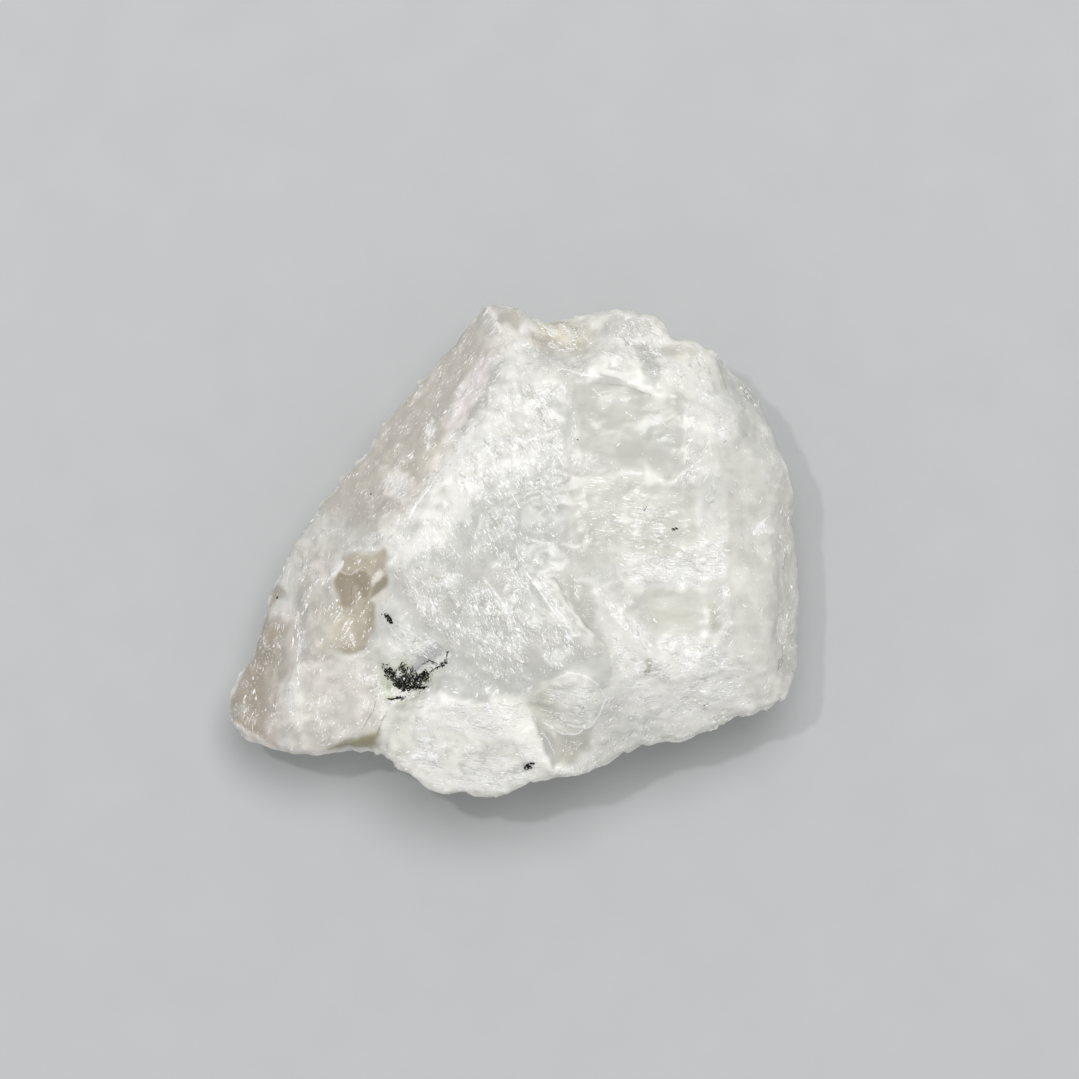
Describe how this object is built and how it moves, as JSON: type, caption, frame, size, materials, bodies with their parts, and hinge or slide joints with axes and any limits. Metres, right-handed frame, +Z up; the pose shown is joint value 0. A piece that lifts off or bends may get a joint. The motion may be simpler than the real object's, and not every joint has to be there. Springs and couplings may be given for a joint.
{
  "type": "rough moonstone",
  "caption": "Broken lump of milky white moonstone with cleavage steps, a shell-shaped flake and a pit of black mineral grains, lying on a flat spot.",
  "frame": {"origin": "under the middle of the stone, on the surface that it rests on", "axes": "+Z up out of the broad broken face, +X across the face along the stone's longest extent, +Y up the face towards its two humps"},
  "size_m": [0.05, 0.0432, 0.027],
  "materials": {
    "moonstone": "broken milky feldspar with a frosty sheen",
    "tourmaline": "glossy black mineral grains in the pit"
  },
  "bodies": {
    "root": {"moonstone": "moonstone"}
  },
  "joints": []
}
